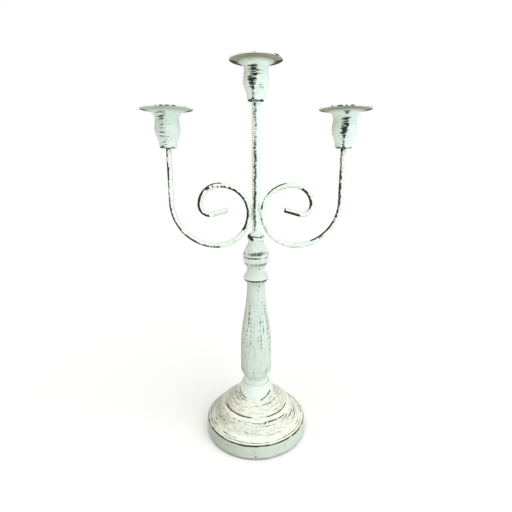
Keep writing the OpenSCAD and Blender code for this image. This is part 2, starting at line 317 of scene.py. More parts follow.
def paint(name, centre=(0, 0), mode="turn", grain=0.0, sharp=5.0, track=(1.6, 0.75, 4.0, 1.6), mint=MINT,
          hair_k=0.75, noise_k=4.2, thin_k=0.50, grit_k=0.16, mix3=(0.44, 0.42, 0.14)):
    """Pale brushed paint over charcoal. mode: turn = strokes round the axis,
    up = strokes along z, rod = strokes along the attribute s. track gives how
    often the long and the fine strokes repeat, along the stroke and across it."""
    m = Net(name)
    x, y, z = m.sep(m.coords())
    x = m.mul(m.sub(x, centre[0] * MM), 1000.0)
    y = m.mul(m.sub(y, centre[1] * MM), 1000.0)
    z = m.mul(z, 1000.0)
    s, a = m.attr("s"), m.attr("around")
    wear, glaze, cream_tint_and_warm_light = m.attr("wear"), m.attr("glaze"), m.attr("cream_tint_and_warm_light")
    painted_shade, painted_highlight = m.attr("painted_shade"), m.attr("painted_highlight")
    rr = m.math("SQRT", m.add(m.add(m.mul(x, x), m.mul(y, y)), 0.01))
    ux, uy = m.math("DIVIDE", x, rr), m.math("DIVIDE", y, rr)
    iso = m.comb(x, y, z)
    la, ls, fa, fs = track
    if mode == "turn":
        # bristle tracks: long round the axis, narrow across it; each track wanders a little
        lean = m.mul(m.noise(iso, 0.06, 2.0, 0.5), 3.0)
        t = m.add(s, lean)
        long_v = m.comb(m.mul(ux, la), m.mul(uy, la), m.mul(t, ls))
        fine_v = m.comb(m.mul(ux, fa), m.mul(uy, fa), m.mul(t, fs))
    elif mode == "up":
        long_v = m.comb(m.mul(ux, 8.0), m.mul(uy, 8.0), m.mul(z, 0.055))
        fine_v = m.comb(m.mul(ux, 20.0), m.mul(uy, 20.0), m.mul(z, 0.30))
    else:
        long_v = m.comb(m.mul(s, 0.17), m.mul(m.math("COSINE", a), 1.6), m.mul(m.math("SINE", a), 1.6))
        fine_v = m.comb(m.mul(s, 0.62), m.mul(m.math("COSINE", a), 4.0), m.mul(m.math("SINE", a), 4.0))
    n_long = m.noise(long_v, 1.0, 3.0, 0.60)
    n_fine = m.noise(fine_v, 1.0, 3.0, 0.66)
    n_iso = m.noise(iso, 0.80, 4.0, 0.68)
    n_grit = m.noise(iso, 2.4, 3.0, 0.65)
    n_big = m.noise(iso, 0.055, 2.0, 0.5)
    n_mid = m.noise(iso, 0.30, 3.0, 0.55)
    # where the undercoat shows
    n_third = n_iso
    if mode == "up":
        n_third = m.noise(m.comb(m.mul(ux, 16.0), m.mul(uy, 16.0), m.mul(z, 0.95)), 1.0, 2.0, 0.6)
    brk = m.add(m.add(m.mul(n_long, mix3[0]), m.mul(n_fine, mix3[1])), m.mul(n_third, mix3[2]))
    gate = m.ramp(wear, 0.06, 0.40)
    v = m.add(wear, m.mul(m.mul(m.sub(brk, 0.5), noise_k), gate))
    mask = m.math("MULTIPLY_ADD", m.sub(v, 0.62), sharp, 0.5, clamp=True)
    # hair-thin scratches all over, thicker where the brush was dry
    hair = m.add(m.add(m.mul(n_long, 0.40), m.mul(n_fine, 0.45)), m.mul(n_iso, 0.15))
    hm = m.mul(m.ramp(m.add(hair, m.mul(glaze, 0.10)), 0.590, 0.665), m.ramp(glaze, 0.02, 0.45))
    # thin paint: soft grey strokes
    thin = m.mul(m.ramp(m.add(m.mul(n_long, 0.7), m.mul(n_fine, 0.3)), 0.44, 0.60), glaze)
    thick = m.ramp(m.add(m.mul(n_long, 0.6), m.mul(n_fine, 0.4)), 0.50, 0.38)
    # cream tint: a little of it is the paint's own colour, the rest is painted warm light on the left sides, the
    # undersides and the base top
    c = m.mix(cream_tint_and_warm_light, mint, CREAM)
    c = m.mix(m.mul(m.ramp(n_big, 0.35, 0.7), 0.22), c, IVORY)
    # painted highlight: this attribute lightens the paint towards a bright mint on the faces the light falls on
    c = m.mix(m.math("MULTIPLY", painted_highlight, 0.85, clamp=True), c, BRIGHT)
    c = m.mix(m.mul(m.ramp(n_mid, 0.4, 0.75), 0.12), c, lin(250, 255, 250))
    c = m.mix(m.mul(m.ramp(n_grit, 0.52, 0.72), grit_k), c, WASH)
    c = m.mix(m.math("MULTIPLY", thin, thin_k, clamp=True), c, WASH)
    # painted shade: this attribute darkens the paint towards grey-brown where the masks put shade, in recesses, under
    # ledges and on the sides away from the light
    c = m.mix(m.math("MULTIPLY", painted_shade, 0.85, clamp=True), c, lin(132, 131, 107))
    c = m.mix(m.mul(m.mul(thick, glaze), 0.38), c, lin(255, 255, 246))
    c = m.mix(m.mul(hm, hair_k), c, lin(98, 98, 82))
    # rim of half worn paint round each bare place
    halo = m.math("MULTIPLY_ADD", m.sub(v, 0.42), 3.2, 0.0, clamp=True)
    c = m.mix(m.mul(halo, 0.42), c, lin(146, 150, 132))
    under = m.mix(m.ramp(n_iso, 0.35, 0.7), CHAR, CHAR2)
    c = m.mix(mask, c, under)
    m.link(c, m.b.inputs["Base Color"])
    rough = m.add(m.add(0.40, m.mul(n_fine, 0.20)), m.mul(mask, 0.16))
    m.link(rough, m.b.inputs["Roughness"])
    m.b.inputs["IOR"].default_value = 1.46
    # the bare undercoat is matt
    m.link(m.math("MULTIPLY_ADD", mask, -0.36, 0.5), m.b.inputs["Specular IOR Level"])
    h = m.add(m.mul(n_long, 0.45), m.mul(n_fine, 0.55))
    nb = m.bump(h, 0.00032, 0.6)
    if grain:
        pores = m.noise(m.comb(m.mul(ux, 40.0), m.mul(uy, 40.0), m.mul(z, 0.11)), 1.0, 3.0, 0.7)
        nb = m.bump(m.ramp(pores, 0.30, 0.62), 0.00030 * grain, 0.8, nb)
    nb = m.bump(n_iso, 0.00012, 0.5, nb)
    nb = m.bump(m.math("SUBTRACT", 1.0, mask), 0.00014, 0.9, nb)
    m.link(nb, m.b.inputs["Normal"])
    return m.mat


def stroke(deg, r, q, path, width, k):
    """A worn stroke along a path of (degrees, q) points; q is a height or a
    profile length in mm. Strength k, falling to 0 at width (mm)."""
    best = np.full(deg.shape, 1e9)
    x = np.radians(deg) * r
    for (a0, q0), (a1, q1) in zip(path[:-1], path[1:]):
        x0, x1 = np.radians(a0) * r, np.radians(a1) * r
        dx, dq = x1 - x0, q1 - q0
        t = np.clip(((x - x0) * dx + (q - q0) * dq) / (dx * dx + dq * dq + 1e-9), 0, 1)
        best = np.minimum(best, np.hypot(x - x0 - t * dx, q - q0 - t * dq))
    return k * bump(best, 0, width)


def steel(name, col, rough=0.34, metallic=1.0):
    m = Net(name)
    x, y, z = m.sep(m.coords())
    x, y, z = [m.mul(v, 1000.0) for v in (x, y, z)]
    iso = m.comb(x, y, z)
    n1 = m.noise(iso, 0.6, 4.0, 0.6)
    n2 = m.noise(m.comb(m.mul(x, 0.6), m.mul(y, 0.6), m.mul(z, 9.0)), 1.0, 3.0, 0.6)
    spots = m.ramp(m.noise(iso, 1.7, 4.0, 0.7), 0.58, 0.74)
    c = m.mix(m.mul(n1, 0.5), col, lin(120, 116, 106))
    c = m.mix(m.mul(spots, 0.55), c, lin(92, 70, 48))
    m.link(c, m.b.inputs["Base Color"])
    m.link(m.add(m.add(rough, m.mul(n2, 0.18)), m.mul(spots, 0.3)), m.b.inputs["Roughness"])
    m.b.inputs["Metallic"].default_value = metallic
    m.link(m.bump(m.add(n2, m.mul(n1, 0.5)), 0.00006, 0.6), m.b.inputs["Normal"])
    return m.mat


def felt_mat(name):
    m = Net(name)
    x, y, z = m.sep(m.coords())
    x, y, z = [m.mul(v, 1000.0) for v in (x, y, z)]
    iso = m.comb(x, y, z)
    fib = m.noise(iso, 1.6, 5.0, 0.75, 1.6)
    big = m.noise(iso, 0.12, 3.0, 0.6)
    lint = m.ramp(m.noise(m.comb(m.mul(x, 0.8), m.mul(y, 3.4), z), 1.0, 4.0, 0.7, 2.5), 0.60, 0.70)
    c = m.mix(fib, lin(46, 48, 44), lin(88, 88, 80))
    c = m.mix(m.mul(big, 0.45), c, lin(70, 66, 56))
    c = m.mix(m.mul(lint, 0.4), c, lin(150, 148, 138))
    m.link(c, m.b.inputs["Base Color"])
    m.link(m.add(0.86, m.mul(fib, 0.12)), m.b.inputs["Roughness"])
    m.b.inputs["Sheen Weight"].default_value = 0.35
    m.b.inputs["Sheen Roughness"].default_value = 0.5
    m.link(m.bump(fib, 0.0004, 0.9), m.b.inputs["Normal"])
    return m.mat


# ------------------------------------------------------------ the base

base_h, felt_t, base_r, step_r = 64.0, 1.2, 60.0, 36.5
wall_top = felt_t + 16.0
base_out = ([(12.0, felt_t), (base_r - 1.6, felt_t)]
    + smooth([(base_r - 1.4, felt_t + 0.1), (base_r - 0.4, felt_t + 0.6), (base_r, felt_t + 1.8)])
    + [(base_r - 0.1, felt_t + 7)]
    + smooth([(base_r - 0.6, wall_top - 1), (base_r - 0.9, wall_top - 0.1),
              (base_r - 1.5, wall_top + 0.7), (base_r - 2.6, wall_top + 1.3), (base_r - 3.6, wall_top + 1.5)])
    + [(base_r - 4.2, wall_top + 1.0)]
    + smooth([(base_r - 4.6, wall_top + 1.7), (base_r - 7.4, wall_top + 2.5), (base_r - 10.2, wall_top + 4.5),
              (base_r - 12.7, wall_top + 7.8), (step_r + 8.8, 28.8), (step_r + 7.4, 31.6), (step_r + 6.5, 33.4),
              (step_r + 4.8, 35.2), (step_r + 2.6, 36.3), (step_r + 0.9, 36.6)])
    + [(step_r + 0.4, 36.1)]
    + smooth([(step_r, 37.2), (step_r - 1, 39.3), (step_r - 3.3, 41.6), (step_r - 6.9, 44.6),
              (step_r - 10.9, 48.2), (step_r - 14.5, 52.6), (19.2, 57.2), (17.2, 61.2), (15.9, base_h)])
    + [(9.05, base_h), (9.05, 47.5), (4.3, 47.5), (4.3, 11.0), (12.0, 11.0)])


def base_shape(r, z, ph, s):
    # worn edges dip a little, tool marks run round, and the blank is a touch out of round
    c, n = np.cos(ph), np.sin(ph)
    d = 0.05 * (fbm(c * 6, n * 6, s * 1.6, 11) - 0.5)
    d += 0.03 * np.sin(s * 5.2) * sstep(r, 18, 24) * (z > 17.5)
    top = bump(np.hypot(r - (base_r - 1.1), z - (wall_top + 0.3)), 0, 1.6)
    d -= top * (0.10 + 0.30 * sstep(fbm(c * 22, n * 22, 3.3, 12), 0.45, 0.75))
    st = bump(np.hypot(r - (step_r + 2.0), z - 36.4), 0, 1.8)
    d -= st * 0.22 * sstep(fbm(c * 14, n * 14, 7.7, 13), 0.5, 0.8)
    lo = bump(np.hypot(r - base_r, z - felt_t), 0, 2.2)
    d -= lo * 0.25 * sstep(fbm(c * 18, n * 18, 9.1, 14), 0.5, 0.8)
    return d


def base_masks(r, z, ph, s, N):
    deg = np.degrees(ph)
    up = z[:, 0] > 36.6
    ro, so = r[up, 0][::-1], s[up, 0][::-1]
    keep = so < s[:, 0][int(np.argmax(z[:, 0]))] + 0.01
    ro, so = ro[keep], so[keep]

    def at(rad):
        return float(np.interp(rad, ro, so))
    c, n = np.cos(ph), np.sin(ph)
    W = np.zeros_like(r)
    ShadeMap = np.zeros_like(r)
    wob = 0.22 * (fbm(c * 8, n * 8, 1.0, 21) - 0.5)
    front = bump(deg, 0, 75)
    # line along the top edge, heaviest at the front
    d = np.hypot(r - (base_r - 1.0) - wob, z - (wall_top + 0.25))
    W = np.maximum(W, (0.98 + 0.12 * front + 0.9 * (fbm(c * 14, n * 14, 2.0, 22) - 0.5)) * bump(d, 0, 1.75))
    W = np.maximum(W, 1.15 * bump(d, 0, 1.5) * bump(np.abs(deg), 84, 34))
    # thin broken line in the groove inside the lip
    d = np.hypot(r - (base_r - 4.2), z - (wall_top + 1.1))
    W = np.maximum(W, (0.80 + 1.1 * (fbm(c * 7, n * 7, 5.0, 23) - 0.5)) * bump(d, 0, 1.25))
    # second faint line a little further in, left and right
    d = np.hypot(r - 53.2, z - 19.6)
    W = np.maximum(W, (0.55 + 0.8 * (fbm(c * 6, n * 6, 9.0, 28) - 0.5)) * bump(d, 0, 1.5) * (1 - 0.7 * bump(deg, 5, 40)))
    # the step line, broken at the front right
    d = np.hypot(r - (step_r + 0.4), z - 36.3)
    lh = sstep(deg, -82, -66) * (1 - sstep(deg, -16, -2))
    rh = sstep(deg, 14, 28) * (1 - sstep(deg, 68, 82))
    W = np.maximum(W, (1.35 * lh + 1.12 * rh + 0.30 + 0.5 * (fbm(c * 8, n * 8, 7.0, 29) - 0.5)) * bump(d, 0, 1.35 + 0.25 * lh))
    # worn shoulder of the step ring: ragged dashes
    d = np.hypot(r - (step_r + 6.2), z - 33.9)
    W = np.maximum(W, (0.62 + 0.9 * (fbm(c * 10, n * 10, 8.0, 24) - 0.45)) * bump(d, 0, 2.3) * (0.75 + 0.35 * bump(deg, 25, 40)))
    # broken arcs across the cove
    for rr, hh, a0, w0, k in ((45.2, 29.0, 64, 30, 0.95), (48.6, 23.5, 76, 30, 0.86), (47.0, 25.8, 88, 26, 0.85), (43.9, 31.6, 50, 22, 0.80), (46.5, 26.5, -58, 28, 0.66),
                              (50.6, 21.2, -70, 25, 0.60), (44.6, 30.2, 10, 40, 0.62), (49.5, 22.5, 20, 50, 0.50), (47.4, 25.0, -12, 46, 0.48),
                              (47.6, 24.6, 150, 60, 0.6), (51.5, 20.8, -150, 50, 0.55)):
        d = np.hypot(r - rr - 0.9 * (fbm(c * 3, n * 3, rr, 26) - 0.5), z - hh)
        W = np.maximum(W, (k + 0.7 * (fbm(c * 12, n * 12, rr, 27) - 0.5)) * bump(d, 0, 1.6) * bump(deg, a0, w0))
    # short arcs on the trumpet, left and right of the front
    W = np.maximum(W, stroke(deg, r, s, [(-80, at(19.8)), (-56, at(21.6)), (-32, at(23.0))], 1.1, 1.2))
    W = np.maximum(W, stroke(deg, r, s, [(-66, at(22.4)), (-44, at(24.2)), (-26, at(24.8))], 0.9, 0.92))
    W = np.maximum(W, stroke(deg, r, s, [(-84, at(24.4)), (-60, at(25.6)), (-40, at(27.4))], 1.5, 0.70))
    W = np.maximum(W, stroke(deg, r, s, [(-78, at(28.0)), (-50, at(29.4)), (-20, at(30.2))], 1.7, 0.52))
    W = np.maximum(W, stroke(deg, r, s, [(56, at(20.2)), (40, at(21.4))], 1.4, 1.45))
    W = np.maximum(W, stroke(deg, r, s, [(40, at(21.4)), (14, at(23.8))], 1.0, 1.05))
    W = np.maximum(W, stroke(deg, r, s, [(62, at(26.4)), (30, at(27.6)), (0, at(28.2))], 2.6, 0.60))
    W = np.maximum(W, stroke(deg, r, s, [(95, at(20.6)), (78, at(22.6))], 1.4, 1.0))
    W = np.maximum(W, stroke(deg, r, s, [(130, at(24)), (170, at(26.0))], 1.6, 1.0))
    W = np.maximum(W, stroke(deg, r, s, [(-170, at(22)), (-130, at(23.6))], 1.6, 1.0))
    # foot of the wall
    d = np.hypot(r - base_r, z - (felt_t + 0.6))
    W = np.maximum(W, (0.62 + 1.0 * (fbm(c * 12, n * 12, 4.0, 25) - 0.5)) * bump(d, 0, 1.5))
    # specks on the wall
    for q, zz, rad, k in ((-1.5, 9.2, 1.2, 1.2), (-0.5, 4.4, 1.5, 1.3), (-21, 10.0, 0.9, 0.9), (33, 12.0, 0.9, 0.9), (24, 13.2, 0.8, 0.9),
                          (110, 8, 1.6, 1.2), (-135, 11, 1.5, 1.2), (170, 6, 1.4, 1.1)):
        W = np.maximum(W, k * bump(np.hypot(np.radians(deg - q) * base_r * 0.8, z - zz), 0, rad))
    under = (N[:, 1][:, None] * np.ones_like(r) < -0.7) & (z < 2.5)
    W = np.where(under, 0.75, W)
    W = np.where((r < 15.8) & (z > 63.9) | (r < 13), 1.5, W)
    top = sstep(z, 17.4, 18.6)
    cove = bump(r, 46.5, 6.0) * top
    dome = sstep(z, 36.4, 37.2) * (1 - sstep(z, 47, 57))
    side = np.clip(bump(deg, 78, 62) + bump(deg, -82, 66), 0, 1)
    back = sstep(-c, 0.0, 0.6)
    G = top * 0.50 + 0.36 * cove + 0.26 * dome + 0.34 * (1 - top)
    G = G + 0.30 * side * (cove + dome)
    G = G + 0.15 * back
    G = G * (1 - 0.90 * sstep(z, 50, 56) * (1 - side * 0.4))
    # painted shade: darker and browner on the left flank, the wall, the sides of the cove and the upper trumpet
    ShadeMap = 0.66 * bump(deg, -92, 66) * top * (0.6 + 0.4 * cove) * (1 - sstep(z, 44, 58))
    ShadeMap = ShadeMap + 0.20 * bump(deg, 90, 44) * (cove + 0.5 * dome)
    ShadeMap = ShadeMap + (1 - top) * (0.40 + 0.30 * bump(deg, -66, 80)) + 0.10 * dome * bump(deg, 45, 50) + 0.12 * sstep(z, 44, 52)
    # cream on the top faces and the left of the wall: painted warm light and highlight, over a little cream in the
    # paint
    T = 0.12 + 0.88 * top * (1 - 0.80 * sstep(z, 45, 58)) - 0.40 * cove * bump(deg, 10, 90)
    T = T + 0.30 * (1 - top) * sstep(-deg, -10, 80)
    # painted highlight on the front of the upper trumpet and the front of the top
    HighlightMap = 0.5 * sstep(z, 45, 55) * bump(deg, 5, 90) + 0.25 * top * bump(deg, 0, 60)
    return {"wear": W, "glaze": np.clip(G, 0, 1), "cream_tint_and_warm_light": np.clip(T, 0, 1), "painted_shade": ShadeMap, "painted_highlight": HighlightMap}


paint_base = paint("paint_base", mode="turn", track=(3.4, 1.8, 8.0, 3.4), hair_k=0.60, thin_k=0.32, grit_k=0.36, noise_k=4.2)
base = lathe("base_turning_finished", dense(base_out, 0.55, True), 640, paint_base, "base_turning",
             shape=base_shape, masks=base_masks)

# ---------------------------------------------------------- the column

belly_r, waist_r, collar_r, bead_r, cap_r, col_top = 18.1, 10.2, 14.4, 14.5, 9.7, 246.0
col_out = ([(6.05, 62.4), (6.05, 48.0), (8.2, 48.0), (9.0, 48.8), (9.0, 64.0)]
    + smooth([(15.4, 64), (15.1, 64.9), (14.4, 66.4), (13.9, 68.4), (13.9, 70)])
    + smooth([(14.2, 70.6), (15.1, 72.6), (belly_r - 1.7, 75), (belly_r - 0.7, 77.4), (belly_r - 0.15, 80), (belly_r, 84)])
    + smooth([(belly_r, 92), (belly_r, 101), (belly_r - 0.1, 109), (belly_r - 0.4, 118), (belly_r - 0.9, 126),
              (belly_r - 1.7, 133), (15.4, 140), (14.3, 147), (13.2, 154), (12.2, 161), (waist_r + 1.2, 168),
              (waist_r + 0.6, 175), (waist_r + 0.2, 181), (waist_r, 185.5)])
    + smooth([(waist_r + 0.15, 187.4), (11.1, 189.1), (12.5, 190.8), (collar_r - 0.6, 192.5), (collar_r, 193.9)])
    + smooth([(collar_r - 0.1, 195.1), (13.3, 197), (12, 198.8), (10.9, 200.8), (10.25, 203.2), (10.15, 205.2),
              (10.6, 207.2), (11.5, 208.8), (12.6, 210.3), (bead_r - 0.7, 212.2), (bead_r - 0.15, 214.2),
              (bead_r, 216.4), (bead_r - 0.1, 218.3)])
    + [(bead_r - 0.7, 218.9)]
    + smooth([(bead_r - 0.1, 219.5), (bead_r - 0.05, 220.8), (bead_r - 0.35, 222.6), (13.6, 224.6), (12.6, 226.8),
              (11.5, 228.8), (10.3, 230.9), (9.3, 233), (8.8, 235), (8.8, 236.6)])
    + smooth([(cap_r - 0.6, 237.6), (cap_r - 0.1, 238.6), (cap_r, 240.6), (cap_r - 0.2, 242), (cap_r - 0.75, 243.1),
              (cap_r - 2.6, 244.5), (cap_r - 4.2, 245.5), (5.0, col_top)])
    + [(4.65, col_top - 0.2), (4.65, 236.0), (3.3, 236.0), (3.3, 233.0)])


def col_shape(r, z, ph, s):
    c, n = np.cos(ph), np.sin(ph)
    body = sstep(z, 66, 76) * (1 - sstep(z, 180, 190))
    # raised grain along the spindle, and sanding flats
    g = fbm(c * r * 0.9, n * r * 0.9, z * 0.035, 31, 3)
    d = 0.16 * (g - 0.5) * body
    d += 0.07 * (fbm(c * 3, n * 3, z * 0.06, 32) - 0.5)
    d += 0.04 * (fbm(c * 6, n * 6, z * 1.1, 33) - 0.5) * (z > 186)
    d -= 0.35 * bump(z, 194.3, 1.4) * sstep(fbm(c * 9, n * 9, 1.7, 34), 0.45, 0.8)
    d -= 0.25 * bump(z, 222.0, 1.4) * sstep(fbm(c * 8, n * 8, 6.7, 35), 0.45, 0.8)
    d -= 0.3 * bump(z, 240.5, 2.2) * bump(np.degrees(ph), -38, 20)
    return d


def col_masks(r, z, ph, s, N):
    deg = np.degrees(ph)
    c, n = np.cos(ph), np.sin(ph)
    W = np.zeros_like(r)
    wob = 0.5 * (fbm(c * 5, n * 5, 1.0, 41) - 0.5)
    # under the collar
    W = np.maximum(W, (1.18 - 0.35 * bump(deg, 24, 9) + 0.25 * np.sin(deg * 0.5)) * bump(z - wob * 0.5, 192.4, 2.1))
    # groove of the bead: broken
    br = fbm(c * 5, n * 5, 2.0, 42) - 0.5
    W = np.maximum(W, (0.66 + 1.2 * br + 0.9 * bump(deg, -12, 34)) * bump(z, 219.0, 1.35))
    # hatched dashes on the shoulder above the groove
    hatch = 0.5 + 0.5 * np.sin(deg * 0.62 + (z - 221) * 1.4 + 1.5 * np.sin(deg * 0.13))
    W = np.maximum(W, (0.46 + 1.50 * hatch) * bump(z + wob - 0.012 * deg, 223.6, 3.3) * bump(deg, 4, 70))
    W = np.maximum(W, (0.5 + 0.5 * hatch) * bump(z, 223.0, 3.0) * (bump(deg, -68, 22) + bump(deg, 70, 22)))
    W = np.maximum(W, (0.6 + 0.7 * hatch) * bump(z + wob, 223.0, 2.6) * bump(deg, 180 - 360 * (deg < 0), 80))
    for q, k in ((-24, 0.58), (-38, 0.56), (30, 0.55), (110, 0.7), (-120, 0.7), (165, 0.7)):
        W = np.maximum(W, k * bump(z, 227.6, 3.4) * bump(deg + (z - 227) * 1.2, q, 7))
    # flecks where the bead turns under
    W = np.maximum(W, (0.62 + 1.0 * (fbm(c * 9, n * 9, 3.0, 43) - 0.5)) * bump(z, 211.6, 2.6))
    W = np.maximum(W, 1.0 * bump(z, 206.0, 1.5) * bump(deg, 22, 8))
    W = np.maximum(W, 0.9 * bump(z, 185.5, 1.5) * bump(deg, 24, 9))
    W = np.maximum(W, 0.8 * bump(z, 181.0, 1.5) * bump(deg, 12, 8))
    # cap: bare patch at the front left, thin line at the front
    W = np.maximum(W, stroke(deg, r, z, [(-62, 242.8), (-38, 240.4), (-27, 239.4)], 2.9, 2.0))
    W = np.maximum(W, stroke(deg, r, z, [(-80, 243.2), (-45, 242.6), (-10, 242.4)], 1.0, 1.3))
    W = np.maximum(W, stroke(deg, r, z, [(-22, 242.0), (44, 241.2)], 0.95, 1.25))
    W = np.maximum(W, (0.60 + 0.9 * (fbm(c * 5, n * 5, 6.0, 47) - 0.5)) * bump(z, 242.3, 1.4))
    W = np.maximum(W, 0.75 * bump(z, 237.0, 1.0) * bump(deg, 40, 45))
    # dotted marks down the belly: upright strokes broken by the brush running round
    up = sstep(z, 98, 112) * (1 - sstep(z, 160, 170))
    rows = sstep(np.sin(z * 1.28 + 1.2 * np.sin(z * 0.31) + 5.0 * (fbm(c * 3, n * 3, z * 0.08, 48) - 0.5)), -0.6, 0.6)
    spread = vnoise(c * 3, n * 3, z * 0.16, 44)
    for q, w, k, z0, z1 in ((-33, 6.0, 0.96, 138, 167), (-22, 4.0, 0.92, 116, 150), (-38, 5.0, 0.80, 110, 140), (20, 5.0, 0.76, 112, 152),
                            (9, 3.5, 0.62, 120, 165), (52, 8, 0.85, 120, 165), (66, 9, 0.80, 104, 150), (-60, 8, 0.62, 110, 160),
                            (33, 4, 0.75, 128, 168), (-8, 3, 0.55, 118, 150), (105, 9, 0.85, 105, 160), (150, 8, 0.85, 112, 168),
                            (-150, 9, 0.8, 105, 160), (-105, 8, 0.85, 112, 168), (175, 6, 0.75, 120, 150)):
        drift = 3.0 * (vnoise(1.0, q, z * 0.08, 45) - 0.5)
        seg = sstep(z, z0 - 4, z0 + 3) * (1 - sstep(z, z1 - 3, z1 + 4))
        W = np.maximum(W, 0.80 * k * seg * (0.72 + 0.28 * rows) * (0.70 + 0.45 * spread) * bump(deg - drift, q, w * 1.25))
    # faint rings of dots at the upper belly
    for zz in (163.5, 157.0, 151.5, 168.0, 146):
        W = np.maximum(W, 0.55 * bump(z + 0.6 * wob, zz, 0.9) * sstep(vnoise(c * 5, n * 5, zz, 49), 0.3, 0.7))
    # foot of the belly
    W = np.maximum(W, (0.44 + 0.6 * (fbm(c * 10, n * 10, z * 0.2, 46) - 0.5)) * bump(z, 75.0, 3.0))
    W = np.maximum(W, 0.34 * bump(z, 82, 9))
    W = np.where(r < 5.2, 1.2 * (z < 245), W)
    body = sstep(z, 72, 80) * (1 - sstep(z, 183, 190))
    G = 0.14 + 0.36 * body * (1 - 0.35 * sstep(z, 160, 185)) + 0.22 * bump(z, 84, 16) - 0.08 * sstep(z, 222, 230)
    G = G + 0.30 * bump(z, 70.5, 3.5) + 0.30 * bump(z, 215, 7)
    G = G * (1 - 0.6 * bump(z, 66, 3))
    # cream on the left side and above the collar: painted warm light, over a little cream in the paint
    T = 0.10 + 0.10 * (1 - body) + 0.60 * sstep(-deg, 15, 80) + 0.15 * sstep(z, 192, 200)
    # painted shade: darker at the left and right sides of the body, on the lower belly, in the groove at the belly
    # foot, under the collar and the bead, on the left of the neck and a little over the top part
    ShadeMap = 0.46 * body * bump(deg, -92, 66) + 0.20 * body * bump(deg, 92, 36) + 0.06 * body + 0.28 * bump(z, 71.2, 2.6) + 0.10 * sstep(z, 72, 80) * (1 - sstep(z, 112, 130)) + 0.10 * sstep(z, 192, 196) * (1 - sstep(z, 232, 240))
    ShadeMap = ShadeMap + 0.30 * bump(z, 206, 5) * bump(deg, -80, 70) + 0.35 * bump(z, 188.5, 3.5) + 0.30 * bump(z, 209.5, 3)
    ShadeMap = ShadeMap + 0.22 * sstep(z, 224, 234) * (1 - sstep(z, 236, 238)) * bump(deg, -85, 50)
    # painted highlight over everything above the collar, and at the foot
    HighlightMap = 0.75 * sstep(z, 192.5, 195) * (1 - 0.5 * bump(z, 206, 6)) + 0.30 * (1 - sstep(z, 64, 72))
    return {"wear": W, "glaze": np.clip(G, 0, 1), "cream_tint_and_warm_light": np.clip(T, 0, 1), "painted_shade": ShadeMap, "painted_highlight": HighlightMap}


paint_col = paint("paint_column", mode="up", grain=1.0, hair_k=0.22, thin_k=0.22, noise_k=4.6, grit_k=0.22, mix3=(0.16, 0.34, 0.50))
column = lathe("column_spindle_finished", dense(col_out, 0.6, False), 320, paint_col, "column_spindle",
               closed=False, shape=col_shape, masks=col_masks)

# ------------------------------------------------------------- the stem

stem_r, stem_top = 4.6, 381.0
stem_out = [(3.8, 236.0), (stem_r, 236.0), (stem_r, stem_top - 0.3), (stem_r - 0.3, stem_top), (3.8, stem_top)]


def stem_shape(r, z, ph, s):
    c, n = np.cos(ph), np.sin(ph)
    out = r > 4.2
    d = 0.10 * (fbm(c * 1.4, n * 1.4, z * 0.12, 51) - 0.5) + 0.05 * (fbm(c * 4, n * 4, z * 0.7, 52) - 0.5)
    # paint gathers where the stem enters the cap
    d += 0.35 * np.exp(-np.clip(z - 245.8, 0, 99) / 0.9) * (z > 245.2)
    return np.where(out, d - 0.03, 0)


def stem_masks(r, z, ph, s, N):
    deg = np.degrees(ph)
    c, n = np.cos(ph), np.sin(ph)
    k = 0.80 + 0.22 * (1 - sstep(z, 325, 350)) + 0.12 * bump(z, 290, 40) - 0.15 * (1 - sstep(z, 249, 258))
    drift = 14 * (fbm(0.5, 0.5, z * 0.035, 53) - 0.5) * 2 + 13 * (vnoise(0.2, 0.2, z * 0.45, 54) - 0.5) + 9 * (vnoise(0.7, 0.2, z * 1.1, 57) - 0.5)
    breaks = 0.22 * (fbm(0, 2, z * 0.16, 55) - 0.5) * 2 + 0.30 * (vnoise(c * 2, n * 2, z * 0.9, 58) - 0.5)
    W = (k * 0.88 + breaks) * bump(deg - drift, -12, 36) * sstep(z, 246, 249)
    W = np.maximum(W, 0.60 * bump(deg, 40, 22) * bump(z, 270, 14))
    W = np.maximum(W, 0.62 * bump(deg, -62, 20) * bump(z, 268, 12))
    W = np.maximum(W, (0.70 + 0.8 * (fbm(0, 5, z * 0.12, 56) - 0.5)) * bump(deg, 165, 34))
    W = np.maximum(W, 0.55 * bump(z, 380, 2.2) * bump(deg, -5, 60))
    W = np.where(r < 4.2, 1.3, W)
    G = 0.14 + 0.35 * bump(deg, -20, 60)
    # cream on the left: painted warm light; darker on the left: painted shade; lighter on the right: painted highlight
    T = 0.06 + 0.80 * sstep(-deg, 20, 60)
    ShadeMap = 0.12 * sstep(-deg, 30, 80)
    return {"wear": W, "glaze": G, "cream_tint_and_warm_light": np.clip(T, 0, 1), "painted_shade": ShadeMap, "painted_highlight": 0.8 * sstep(deg, -40, 10)}


paint_stem = paint("paint_stem", mode="turn", sharp=5.0, track=(1.8, 0.9, 3.6, 1.8), noise_k=4.6)
stem = lathe("stem_tube_finished", dense(stem_out, 0.55, True), 96, paint_stem, "stem_tube",
             shape=stem_shape, masks=stem_masks)

# ------------------------------------------------------------- the cups

